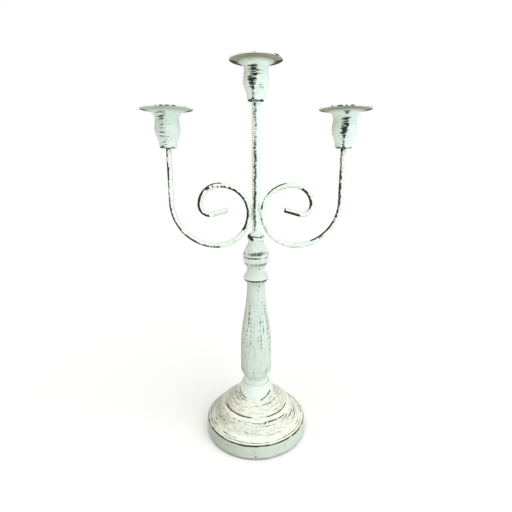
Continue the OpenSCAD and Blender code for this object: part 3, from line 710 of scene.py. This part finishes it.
cup_h, rim_r, bore_r, floor_t, stop, mouth = 39.0, 27.0, 11.25, 1.6, 13.8, 30.2
cup_out = ([(2.15, 0), (8.1, 0)]
    + smooth([(8.3, 0.1), (8.7, 0.5), (8.9, 1.6), (9.1, 3.6), (9.35, 5.6), (9.8, 7.6), (10.6, 9.8), (11.6, 12),
              (12.4, 14), (12.95, 16.4), (13.1, 18.8), (13, 21), (12.65, 23.6), (12.3, 26), (12.15, 28.2),
              (12.3, 30.2), (12.95, 32.2), (14.4, 34.2), (17.4, 35.9), (21.2, 36.9), (24.8, 37.5), (26.1, 37.7)], 6)
    + smooth([(26.7, 37.85), (27, 38.25), (26.9, 38.7), (26.6, 38.95), (26.1, 39)], 5)
    + smooth([(25, 38.9), (24, 38.6), (20.6, 37.9), (17, 36.9), (14.2, 35.3), (12.2, 32.6), (bore_r, mouth)], 6)
    + [(bore_r, stop)]
    + smooth([(9.7, stop - 3), (8.5, stop - 5.6), (7.9, stop - 8.4), (7.6, floor_t + 1)], 5)
    + [(6.9, floor_t), (2.15, floor_t)])


cup_P = dense(cup_out, 0.45, True)
cup_s = np.concatenate([[0], np.cumsum(np.hypot(*np.diff(cup_P, axis=0).T))])
s_rim = cup_s[int(np.argmax(cup_P[:, 0]))]


def cup(name, node, cx, z0, seed, band, thick, pitch, dashes, patch, extra=(), lipk=0.35):
    def shape(r, z, ph, s):
        c, n = np.cos(ph), np.sin(ph)
        d = 0.10 * (fbm(c * 1.5, n * 1.5, z * 0.12, seed) - 0.5) + 0.04 * (fbm(c * 5, n * 5, z * 0.8, seed + 1) - 0.5)
        inside = (r < 11.6) & (z > floor_t - 0.1)
        return np.where(inside, 0.0, d)

    def masks(r, z, ph, s, N):
        deg = np.degrees(ph)
        c, n = np.cos(ph), np.sin(ph)
        outer = (s < s_rim)
        W = np.zeros_like(r)
        # brushed band up the front: dry strokes one above the other, ragged at both ends
        rng = np.random.default_rng(seed)
        kz = [k[0] for k in band]
        top = kz[-1]
        zz = 0.6
        while zz < top:
            ac, hw, k = (np.interp(zz, kz, [q[i] for q in band]) for i in (1, 2, 3))
            a_mid = ac + rng.normal(0, 0.20) * hw
            hw = hw * rng.uniform(0.55, 1.30)
            tilt = rng.uniform(-0.01, 0.035)
            th = rng.uniform(0.45, 0.80) * thick
            line = zz + tilt * (deg - a_mid) + 0.25 * (vnoise(c * 6, n * 6, zz, seed + 3) - 0.5)
            W = np.maximum(W, k * rng.uniform(0.85, 1.1) * bump(z, line, th * 1.5) ** 0.7
                           * (1 - sstep(np.abs(deg - a_mid), hw * 0.75, hw * 1.15)) * outer)
            zz += rng.uniform(0.50, 0.85) * pitch
        # the sides and the back are brushed the same way, more lightly
        for ab in (168 - seed * 0.02, -138 + seed * 0.03, 121):
            zz = rng.uniform(2, 6)
            while zz < 31:
                hw = rng.uniform(5, 15)
                a_mid = ab + rng.normal(0, 3)
                W = np.maximum(W, rng.uniform(0.6, 0.95) * bump(z, zz + 0.01 * (deg - a_mid), rng.uniform(0.6, 1.0))
                               * (1 - sstep(np.abs((deg - a_mid + 180) % 360 - 180), hw * 0.75, hw * 1.15)) * outer)
                zz += rng.uniform(0.6, 1.5)
        # long thin single hairs to both sides
        for b0, b1, a0, a1, k, count in extra:
            for _ in range(count):
                zz = rng.uniform(b0, b1)
                p, q = sorted(rng.uniform(a0, a1, 2))
                q = min(q, p + 26)
                line = zz + rng.uniform(-0.01, 0.03) * (deg - p)
                W = np.maximum(W, k * rng.uniform(0.75, 1.1) * bump(z, line, 0.55)
                               * sstep(deg, p - 3, p + 3) * (1 - sstep(deg, q - 3, q + 3)) * outer)
        # rim
        lip = bump(np.hypot(r - 26.5, z - 38.8), 0, 1.3)
        W = np.maximum(W, (lipk + 0.8 * (fbm(c * 7, n * 7, 1.0, seed + 5) - 0.5)) * lip)
        for a0, w0, k in dashes:
            W = np.maximum(W, k * bump(np.hypot(r - 26.95, z - 38.58), 0, 1.25) * bump(deg, a0, w0))
        # the underside of the flange is dark over the half turned away from the viewer
        turn = np.arctan2(-cx, 401.7)                 # towards the viewer
        back = sstep(-np.cos(ph - turn), -0.22, 0.06) * (0.84 + 0.16 * np.sign(ph - turn))
        W = np.maximum(W, 2.3 * back * sstep(r, 18.4 if cx == 0 else 20.0, 20.6 if cx == 0 else 22.2) * (z < 38.0) * (z > 33) * outer)
        # bottom edge and underside
        be = bump(np.hypot(r - 8.4, z - 0.3), 0, 1.3)
        W = np.maximum(W, (0.30 + 1.1 * bump(deg, -52, 34) + 0.9 * bump(deg, 48, 26) + 0.8 * bump(np.abs(deg), 150, 50)) * be)
        W = np.where((z < 0.08) & (r < 8.2), 1.1, W)
        for a0, w0, zz, hh, k in patch:
            W = np.maximum(W, k * bump(deg, a0, w0) * bump(z, zz, hh) * outer)
        # inside: thin paint, bare lower down
        ins = ~outer & (z < 33)
        W = np.where(ins, np.clip(0.30 + 0.95 * sstep(-z, -30, -12), 0, 1.3), W)
        W = np.where(~outer & (z >= 33), np.maximum(W, 0.26 + 0.35 * (fbm(c * 4, n * 4, z, seed + 8) - 0.5)), W)
        under = outer * sstep(r, 13.6, 20) * (z > 30)
        G = 0.10 + 0.26 * bump(deg, band[3][1], 75) * outer + 0.35 * ins + 0.15 * under
        # painted shade under the flange, on the left side, and over all of the left cup
        ShadeMap = outer * (z > 30) * sstep(r, 12.8, 22.0) * (1.50 if cx == 0 else 1.28 if cx > 0 else 0.62) * (1 - sstep(r, 25.9, 26.5)) + (0.17 if cx < 0 else 0.03) * outer + 0.26 * outer * (bump(deg, -92, 50) + 0.35 * bump(deg, 95, 30))
        # cream on the left, on the lip and under the flange: painted warm light, over a little cream in the paint
        T = 0.03 + 0.40 * sstep(-deg, 25, 85) + 0.5 * sstep(r, 25, 26.5) + 0.15 * under
        # painted highlight on the right of the body and on the lip
        HighlightMap = (0.45 if cx < 0 else 0.72) * sstep(deg, -60, 10) * outer * (1 - sstep(r, 13.5, 20)) + 1.0 * sstep(r, 25.9, 26.5)
        return {"wear": W, "glaze": np.clip(G, 0, 1), "cream_tint_and_warm_light": np.clip(T, 0, 1), "painted_shade": ShadeMap, "painted_highlight": HighlightMap}

    mat = paint("paint_" + name, centre=(cx, 0), mode="turn", track=(0.95, 0.80, 2.3, 1.9), noise_k=5.2, mix3=(0.50, 0.38, 0.12))
    return lathe(name + "_finished", cup_P, 288, mat, node,
                 centre=(cx, 0), z0=z0, shape=shape, masks=masks)


AX = 91.45
cup("centre_candle_cup", "centre_candle_cup", 0.0, 381.0, 100,
    [(1, -22, 12, 0.80), (4, -19, 8, 0.80), (9, -19, 9, 0.84), (14, -18, 14, 0.96), (18, -18, 17, 1.04), (22, -15, 18, 0.96),
     (26, -11, 20, 0.88), (29, -12, 23, 0.90), (31.6, -13, 24, 0.94)], 0.92, 1.02,
    [(-3, 3, 1.0), (49, 9, 1.3)], [(49, 7, 38.2, 0.7, 1.2)],
    [(22, 31, -42, 48, 0.78, 22), (8, 22, 0, 44, 0.70, 16), (8, 22, -44, -22, 0.66, 6)], 0.22)
cup("left_candle_cup", "left_candle_cup", -AX, 335.0, 200,
    [(1, -22, 14, 0.72), (4, -12, 14, 0.60), (8, -14, 16, 0.54), (14, -14, 16, 0.52), (20, -16, 15, 0.53), (25, -19, 15, 0.62),
     (28.5, -19, 16, 0.84), (31.5, -18, 18, 0.86), (34.4, -14, 22, 0.76)], 0.66, 1.55,
    [(2, 7, 1.7), (14, 9, 1.8), (27, 7, 1.5), (-9, 4, 1.2)],
    [(-30, 16, 1.4, 2.4, 1.4), (0, 9, 3.0, 1.2, 0.9)],
    [(27, 34.5, -34, 10, 0.80, 22), (6, 26, -34, 26, 0.56, 30)], 0.30)
cup("right_candle_cup", "right_candle_cup", AX, 335.0, 300,
    [(0.8, -10, 10, 0.95), (3, -15, 8, 0.80), (8, -16, 10, 0.80), (12.5, -15, 12, 0.88), (18, -13, 15, 1.04), (22.3, -10, 17, 1.06),
     (26, -8, 17, 0.98), (28.8, -5, 20, 0.96), (30.2, -5, 18, 0.70)], 0.92, 1.05,
    [(-24, 9, 2.4), (-11, 4, 1.9), (1, 6, 2.2), (-41, 5, 1.8)],
    [(-6, 16, 33.4, 0.9, 1.15), (-4, 20, 34.4, 0.7, 1.0), (-14, 12, 32.4, 0.5, 0.85)],
    [(32.2, 35.0, -26, 12, 0.90, 12), (9, 29, -44, 14, 0.70, 22)], 0.30)

# ------------------------------------------------------------- the arms

rod_r = 2.8
c1, r1 = np.array([43.45, 279.0]), 48.0
c2, r2 = np.array([43.45, 267.0]), 36.0
c3, r3 = np.array([37.45, 267.0]), 30.0
c4, r4 = np.array([39.85, 276.0]), 21.0
c5, r5 = np.array([50.25, 276.0]), 10.6
rise = math.atan(7 / 24)


def arc_pts(c, r, a, b, step=0.45):
    n = max(2, int(abs(b - a) * r / step))
    t = np.linspace(a, b, n + 1)[:-1]
    return np.stack([c[0] + r * np.cos(t), c[1] + r * np.sin(t)], 1)


def line_pts(a, b, step=0.45):
    n = max(2, int(np.hypot(*(np.array(b) - a)) / step))
    t = (np.arange(n) / n)[:, None]
    return np.array(a) + (np.array(b) - a) * t


top_pt = np.array([AX, 335.0])
pts = np.vstack([
    line_pts(top_pt, np.array([AX, 279.0])),
    arc_pts(c1, r1, 0, -math.pi / 2),
    arc_pts(c2, r2, -math.pi / 2, -math.pi),
    arc_pts(c3, r3, math.pi, math.pi / 2),
    line_pts(c3 + [0, r3], c3 + [2.4, r3]),
    arc_pts(c4, r4, math.pi / 2, 0),
    arc_pts(c5, r5, 0, -(math.pi / 2 + rise))])
tail0 = c5 + r5 * np.array([-math.sin(rise), -math.cos(rise)])
tail1 = tail0 + 17.0 * np.array([-math.cos(rise), math.sin(rise)])
pts = np.vstack([pts, line_pts(tail0, tail1), [tail1]])
seg = np.hypot(*np.diff(pts, axis=0).T)
arm_s = np.concatenate([[0], np.cumsum(seg)])
L_arm = arm_s[-1]
# marks along the arm, as length from the cup
S1 = 56.0
S2 = S1 + r1 * math.pi / 2
S3 = S2 + r2 * math.pi / 2
S4 = S3 + r3 * math.pi / 2 + 2.4
S5 = S4 + r4 * math.pi / 2
S6 = S5 + r5 * (math.pi / 2 + rise)


s_top = arm_s[int(np.argmax(np.where(arm_s > S2, pts[:, 1], -1e9)))]


def arm(side, node, seed, knots, end_dark, marks):
    P = pts.copy()
    P[:, 0] *= side
    n = len(P)
    nu = 56
    T = np.gradient(P, axis=0)
    T /= np.hypot(T[:, 0], T[:, 1])[:, None]
    B = np.stack([-T[:, 1], T[:, 0]], 1)          # in the x-z plane
    u = np.arange(nu) / nu * 2 * np.pi
    U = np.ones((n, 1)) * u
    S = arm_s[:, None] * np.ones(nu)
    d = 0.09 * (fbm(np.cos(U) * 1.2, np.sin(U) * 1.2, S * 0.09, seed) - 0.5) \
        + 0.05 * (fbm(np.cos(U) * 2.2, np.sin(U) * 2.2, S * 0.5, seed + 1) - 0.5)
    # hand-bent rod: hammer and jaw marks here and there
    d -= 0.10 * sstep(vnoise(np.cos(U) * 1.1, np.sin(U) * 1.1, S * 0.16, seed + 2), 0.72, 0.92)
    rad = rod_r - 0.03 + d
    # rounded free end
    e = L_arm - arm_s
    endr = np.where(e < 0.7, 1 - 0.30 * (1 - e / 0.7) ** 2, 1.0)
    rad = rad * endr[:, None]
    nx = np.cos(U) * B[:, 0][:, None]
    nz = np.cos(U) * B[:, 1][:, None]
    ny = np.sin(U)
    X = P[:, 0][:, None] + rad * nx
    Y = rad * ny
    Z = P[:, 1][:, None] + rad * nz
    V = np.stack([X, Y, Z], -1).reshape(-1, 3)
    I, J = np.meshgrid(np.arange(n - 1), np.arange(nu), indexing="ij")
    J2 = (J + 1) % nu
    F = np.stack([I * nu + J, I * nu + J2, (I + 1) * nu + J2, (I + 1) * nu + J], -1).reshape(-1, 4)
    if side > 0:
        F = F[:, ::-1]
    # dark line on the side facing left, a little forward and down: worn undercoat where the brush missed, and painted
    # shade on the side away from the light
    dirv = np.array([-0.85, -0.36, -0.38])
    dot = nx * dirv[0] + ny * dirv[1] + nz * dirv[2]
    kk = np.interp(arm_s, [k[0] for k in knots], [k[1] for k in knots])[:, None]
    brk = fbm(S * 0.16, 0.0, 1.0, seed + 3) - 0.5
    lo = (0.57 if side > 0 else 0.45) - 0.35 * (kk - 0.9) - 0.30 * (fbm(S * 0.11, 2.0, 1.0, seed + 6) - 0.5) - 0.30 * (vnoise(S * 0.7, 1.0, 4.0, seed + 7) - 0.5)
    W = (0.30 + kk + 0.55 * brk) * sstep(dot, lo - 0.20, lo + 0.22)
    # paint left standing in patches along the middle of the dark side, and more of it behind
    patchy = sstep(vnoise(S * 0.45, np.cos(U) * 2.0, np.sin(U) * 2.0, seed + 9), 0.40, 0.62)
    W = W * (1 - 0.45 * sstep(dot, 0.80, 0.97) * patchy) * (1 - 0.55 * sstep(ny, 0.05, 0.55))
    for s0, s1, dx, dz, k in marks:
        dd = nx * dx * side + nz * dz - 0.25 * ny
        W = np.maximum(W, k * (sstep(arm_s, s0 - 2, s0 + 2) * (1 - sstep(arm_s, s1 - 2, s1 + 2)))[:, None]
                       * sstep(dd, 0.56, 0.88))
    W = np.maximum(W, 0.20 * sstep(fbm(np.cos(U) * 1.5, np.sin(U) * 1.5, S * 0.10, seed + 4), 0.62, 0.8) * sstep(-nz, -0.2, 0.5))
    W = np.maximum(W, end_dark * (1 - sstep(e, 0.2, 1.6))[:, None])
    # darkens the downward-facing underside from the first bend on and under the tail: painted shade together with worn
    # undercoat
    W = np.maximum(W, (0.72 + 0.9 * brk) * sstep(-nz - 0.2 * ny, 0.78, 0.95) * sstep(arm_s, S1 + 20, S1 + 30)[:, None])
    low = sstep(-nz * 0.75 - ny * 0.60, 0.36, 0.78) * sstep(arm_s, S6 - 3, S6 + 1)[:, None]
    W = np.maximum(W, (1.9 * end_dark - 0.55) * low)
    W = np.maximum(W, 0.8 * (1 - sstep(arm_s, 0.3, 2.2))[:, None] * sstep(-ny, -0.2, 0.7))
    G = 0.35 + 0.5 * sstep(dot, 0.0, 0.8)
    # cream on faces turned left and down: painted warm light, over a little cream in the paint
    warm_tint = 0.18 + 0.50 * sstep(-nx, -0.1, 0.8) + 0.35 * sstep(-nz, 0.0, 0.8)
    # darker towards both edges seen from the front: painted shade; brighter where the rod faces the front and back:
    # painted highlight
    at = {"s": S, "around": U, "wear": W, "glaze": G, "cream_tint_and_warm_light": np.clip(warm_tint, 0, 1),
          "painted_shade": 1.05 * sstep(1 - ny * ny, 0.66, 1.0) * (0.75 - 0.25 * nz - 0.15 * nx),
          "painted_highlight": 0.55 * (1 - sstep(1 - ny * ny, 0.45, 0.85))}
    # flat end cap with a centre
    V = np.vstack([V, [[P[-1, 0], 0, P[-1, 1]]], [[P[0, 0], 0, P[0, 1]]]]) * MM
    faces = [tuple(f) for f in F]
    k0 = (n - 1) * nu
    ce, cs = n * nu, n * nu + 1
    for j in range(nu):
        a, b = k0 + j, k0 + (j + 1) % nu
        c_, d_ = j, (j + 1) % nu
        faces.append((a, b, ce) if side < 0 else (b, a, ce))
        faces.append((d_, c_, cs) if side < 0 else (c_, d_, cs))
    for k in at:
        v = np.asarray(at[k]).ravel()
        extra = {"s": [L_arm, 0], "around": [0, 0], "wear": [end_dark, 0.9], "glaze": [0.5, 0.5], "cream_tint_and_warm_light": [0.3, 0.3], "painted_shade": [0.2, 0.2], "painted_highlight": [0, 0]}[k]
        at[k] = np.concatenate([v, extra])
    mat = paint("paint_" + node, mode="rod", mint=lin(240, 250, 240), noise_k=3.7, thin_k=0.35, hair_k=0.5)
    ob = make(node + "_finished", V, faces, at, mat, None)
    return ob


left_knots = [(0, 0.80), (20, 0.72), (55, 0.70), (62, 0.98), (S1 + 30, 0.90), (S2 - 12, 0.85), (S2 + 6, 0.70),
              (S2 + 22, 0.35), (S3 - 22, 0.45), (S3 - 16, 0.88), (S3 - 2, 0.90), (S3 + 3, 0.6), (S3 + 8, 0.95),
              (S4 - 4, 0.95), (S4, 0.9), (S4 + 10, 1.15), (S5, 1.25), (S6 - 6, 1.1), (S6, 0.55), (L_arm, 0.35)]
right_knots = [(0, 0.75), (22, 0.62), (26, 0.68), (S1, 0.78), (S1 + 30, 0.9), (S2 - 26, 1.12), (S2 - 16, 0.95), (S2 - 4, 0.35),
               (S2 + 10, 0.42), (S3 - 30, 0.25), (S3 - 4, 0.30), (S3, 0.85), (S3 + 25, 0.75), (S4 - 12, 0.62), (S4, 0.55),
               (S4 + 12, 0.95), (S5 - 2, 1.10), (S5 + 8, 0.65), (S6 - 4, 0.55), (L_arm, 0.9)]
la = arm(-1, "left_scroll_arm", 400, left_knots, 0.40, [(s_top - 1, s_top + 15, 0.35, 0.93, 1.0)])
ra = arm(1, "right_scroll_arm", 500, right_knots, 1.0, [(s_top - 26, s_top - 4, -0.62, 0.78, 1.0), (S1 + 24, S2 - 18, -0.80, 0.60, 1.0)])


def thread(name, cx, z0, z1, r, pitch, mat):
    """A threaded end: a lathe whose ridge climbs round it."""
    nz = int((z1 - z0) / 0.06)
    nu = 48
    zz = np.linspace(z0, z1, nz)
    u = np.arange(nu) / nu * 2 * np.pi
    Z, U = np.meshgrid(zz, u, indexing="ij")
    ph = (Z / pitch - U / (2 * np.pi)) % 1.0
    tri = np.abs(ph - 0.5) * 2
    rad = r - 0.30 * np.clip(tri * 1.15 - 0.1, 0, 1)
    rad = rad * (1 - 0.25 * sstep(Z, z1 - 0.45, z1))
    V = np.stack([cx + rad * np.cos(U), rad * np.sin(U), Z], -1).reshape(-1, 3)
    I, J = np.meshgrid(np.arange(nz - 1), np.arange(nu), indexing="ij")
    J2 = (J + 1) % nu
    F = [tuple(f) for f in np.stack([I * nu + J, I * nu + J2, (I + 1) * nu + J2, (I + 1) * nu + J], -1).reshape(-1, 4)]
    V = np.vstack([V, [[cx, 0, z0]], [[cx, 0, z1]]]) * MM
    a, b = nz * nu, nz * nu + 1
    for j in range(nu):
        F.append(((j + 1) % nu, j, a))
        F.append(((nz - 1) * nu + j, (nz - 1) * nu + (j + 1) % nu, b))
    return make(name, V, F, {}, mat, None)


zinc = steel("zinc_steel", lin(178, 180, 178))
zinc_dark = steel("dark_zinc", lin(140, 141, 138), 0.42)
brass = steel("insert_brass", lin(176, 150, 96), 0.36)
stud_top = 1.6 + 0.9 + 3.2 + 1.2
tl = thread("left_arm_thread", -AX, 334.9, 335.0 + stud_top, 2.0, 0.7, zinc)
tr = thread("right_arm_thread", AX, 334.9, 335.0 + stud_top, 2.0, 0.7, zinc)
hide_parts("left_scroll_arm")
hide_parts("right_scroll_arm")

# ------------------------------------------------------------ the welds

def weld(side, node, seed):
    """A lump of braze that wets both the stem and the rod, front and back."""
    nu, nv = 64, 96
    X0 = 6.05 * side
    u = np.arange(nu) / nu * 2 * np.pi
    v = (np.arange(1, nv) / nv) * np.pi
    Vv, U = np.meshgrid(v, u, indexing="ij")
    sx, sy, sz = np.sin(Vv) * np.cos(U), np.sin(Vv) * np.sin(U), np.cos(Vv)
    x = 2.55 * sx
    y = 3.55 * sy * (1 - 0.22 * sz * sz)
    z = 6.0 * sz
    d = 1 + 0.20 * (fbm(sx * 2.1 + 5, sy * 2.1, sz * 3.2, seed) - 0.5) + 0.10 * (fbm(sx * 6, sy * 6, sz * 8, seed + 1) - 0.5)
    x, y, z = x * d, y * d, z * d
    y = np.clip(y, -3.5, 3.5)
    V = np.stack([X0 + x * side, y, 267.0 + z], -1).reshape(-1, 3)
    n = nv - 1
    I, J = np.meshgrid(np.arange(n - 1), np.arange(nu), indexing="ij")
    J2 = (J + 1) % nu
    F = [tuple(f) for f in np.stack([I * nu + J, (I + 1) * nu + J, (I + 1) * nu + J2, I * nu + J2], -1).reshape(-1, 4)]
    V = np.vstack([V, [[X0, 0, 273.0]], [[X0, 0, 261.0]]]) * MM
    a, b = n * nu, n * nu + 1
    for j in range(nu):
        F.append((a, j, (j + 1) % nu))
        F.append((b, (n - 1) * nu + (j + 1) % nu, (n - 1) * nu + j))
    if side < 0:
        F = [f[::-1] for f in F]
    W = 0.40 * sstep(fbm(sx * 3, sy * 3, sz * 5, seed + 2), 0.45, 0.7) + 0.25 * (sx * side < -0.2) * (side < 0)
    at = {}
    # an even touch of painted shade and painted highlight, and a cream tint, over the whole lump
    for k, arr in {"s": z + 267, "around": U, "wear": W, "glaze": 0.5 + 0 * W, "cream_tint_and_warm_light": 0.35 + 0 * W, "painted_shade": 0.12 + 0 * W, "painted_highlight": 0.5 + 0 * W}.items():
        at[k] = np.concatenate([arr.ravel(), [arr.ravel()[0]] * 2])
    mat = paint("paint_" + node, mode="rod", noise_k=4.0)
    return make(node + "_finished", V, F, at, mat, node)


weld(-1, "left_arm_weld", 601)
weld(1, "right_arm_weld", 701)

# ------------------------------------------------------- CAD pieces that stay

for name, mat in (("base_washer", zinc_dark), ("base_bolt", zinc), ("column_insert", brass), ("stem_insert", brass),
                  ("stem_stud", zinc), ("stem_top_plug", zinc),
                  ("centre_cup_washer", zinc_dark), ("left_cup_washer", zinc_dark), ("right_cup_washer", zinc_dark),
                  ("centre_cup_nut", zinc), ("left_cup_nut", zinc), ("right_cup_nut", zinc)):
    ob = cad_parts[name]
    if not ob.data.materials:
        ob.data.materials.append(mat)
    for i in range(len(ob.material_slots)):
        ob.material_slots[i].material = mat

# felt: a disc with a soft edge and a fluffy face
felt_out = [(0.8, 0.12), (40, 0.10), (54.9, 0.12), (55.8, 0.3), (56.0, 0.7), (55.9, 1.05), (55.4, felt_t), (12.5, felt_t), (0.8, felt_t)]


def felt_shape(r, z, ph, s):
    c, n = np.cos(ph), np.sin(ph)
    d = 0.22 * (fbm(c * r * 0.9, n * r * 0.9, 1.0, 801) - 0.5)
    return np.where(z < 0.6, np.minimum(d, 0.09), 0.35 * d * (r > 55))


lathe("felt_pad_finished", dense(felt_out, 1.2, False), 384, felt_mat("felt"), "felt_pad", closed=False,
      shape=felt_shape)

# ------------------------------------------------------------- the studio

def plane(name, size, z, mat):
    me = bpy.data.meshes.new(name)
    k = size / 2
    me.from_pydata([(-k, -k, z), (k, -k, z), (k, k, z), (-k, k, z)], [], [(0, 1, 2, 3)])
    me.materials.append(mat)
    ob = bpy.data.objects.new(name, me)
    bpy.context.scene.collection.objects.link(ob)
    return ob


fm = Net("studio_floor")
fm.b.inputs["Base Color"].default_value = (0.97, 0.97, 0.97, 1)
fm.b.inputs["Roughness"].default_value = 0.9
fm.b.inputs["Specular IOR Level"].default_value = 0.1
plane("floor", 40.0, -0.0002, fm.mat)

world = bpy.data.worlds.new("studio")
bpy.context.scene.world = world
world.use_nodes = True
wt = world.node_tree
wt.nodes.clear()
w_out = wt.nodes.new("ShaderNodeOutputWorld")
w_sky = wt.nodes.new("ShaderNodeBackground")
w_sky.inputs[0].default_value = (1.0, 1.0, 1.0, 1)
w_sky.inputs[1].default_value = 0.34
w_wall = wt.nodes.new("ShaderNodeBackground")
w_wall.inputs[0].default_value = (1.0, 1.0, 1.0, 1)
w_wall.inputs[1].default_value = 1.0
w_ray = wt.nodes.new("ShaderNodeLightPath")
w_mix = wt.nodes.new("ShaderNodeMixShader")
wt.links.new(w_ray.outputs["Is Camera Ray"], w_mix.inputs[0])
wt.links.new(w_sky.outputs[0], w_mix.inputs[1])
wt.links.new(w_wall.outputs[0], w_mix.inputs[2])
wt.links.new(w_mix.outputs[0], w_out.inputs[0])


def sun(name, direction, power, col, angle):
    """Broad soft light, the same over the whole floor. direction points to the light."""
    li = bpy.data.lights.new(name, "SUN")
    li.energy = power
    li.color = col
    li.angle = math.radians(angle)
    ob = bpy.data.objects.new(name, li)
    ob.rotation_euler = Vector(direction).to_track_quat("Z", "Y").to_euler()
    bpy.context.scene.collection.objects.link(ob)
    return ob


sun("key_right", (0.80, -0.60, 0.60), 1.62, (0.94, 1.0, 1.0), 65)
sun("top_soft", (-0.10, -0.10, 1.0), 1.42, (1.0, 0.99, 0.94), 80)
sun("fill_left", (-0.8, -0.7, 0.35), 0.30, (1.0, 0.96, 0.88), 80)

cam = bpy.data.cameras.new("camera")
cam.sensor_width = 36.0
cam.lens = 36.0 * 368.85 / 512
cam.clip_start, cam.clip_end = 0.01, 100
co = bpy.data.objects.new("camera", cam)
co.location = (0.0, -0.4017, 0.3194)
co.rotation_euler = (math.radians(90 - 14.06), 0, 0)
bpy.context.scene.collection.objects.link(co)
bpy.context.scene.camera = co
bpy.context.scene.view_settings.view_transform = "Standard"
bpy.context.scene.view_settings.look = "None"
